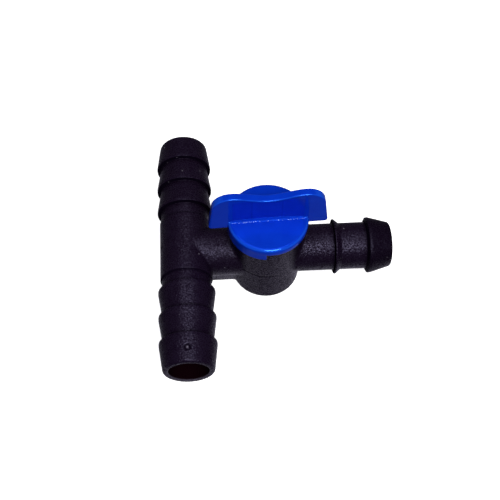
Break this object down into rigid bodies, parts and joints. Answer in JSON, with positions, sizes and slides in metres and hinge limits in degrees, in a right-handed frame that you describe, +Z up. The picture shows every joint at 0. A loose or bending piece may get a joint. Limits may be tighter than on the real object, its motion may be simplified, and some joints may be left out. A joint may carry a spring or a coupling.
{
  "type": "barbed tee ball valve",
  "caption": "Barbed pipe tee with a quarter-turn ball valve and a winged handle in its branch, for small irrigation pipe.",
  "frame": {"origin": "where the axis of the straight run meets the axis of the branch", "axes": "+X out along the branch, +Y along the run, +Z up along the valve stem to the handle"},
  "size_m": [0.0667, 0.0742, 0.039],
  "materials": {
    "body_plastic": "black moulded plastic with a fine spark-eroded grain",
    "handle_plastic": "blue moulded plastic, semi-gloss",
    "stem_plastic": "black moulded plastic, smooth",
    "ball_plastic": "white acetal, polished",
    "seat_plastic": "white low-friction plastic",
    "seal_rubber": "black rubber"
  },
  "bodies": {
    "valve_body": {"body": "body_plastic", "bonnet": "body_plastic", "bonnet_oring": "seal_rubber", "seat_inlet": "seat_plastic", "seat_outlet": "seat_plastic", "seat_oring_inlet": "seal_rubber", "seat_oring_outlet": "seal_rubber"},
    "handle_and_stem": {"handle": "handle_plastic", "stem": "stem_plastic", "stem_oring_lower": "seal_rubber", "stem_oring_upper": "seal_rubber"},
    "ball": {"ball": "ball_plastic"}
  },
  "joints": [
    {"name": "handle_turn", "type": "hinge", "parent": "valve_body", "child": "handle_and_stem", "pos_m": [0.0231, 0, 0], "axis": [0, 0, 1], "range_deg": [-90, 0]},
    {"name": "ball_turn", "type": "hinge", "parent": "valve_body", "child": "ball", "pos_m": [0.0231, 0, 0], "axis": [0, 0, 1], "range_deg": [-90, 0]}
  ],
  "couplings": [
    {"joint": "ball_turn", "follows": "handle_turn", "ratio": 1}
  ]
}
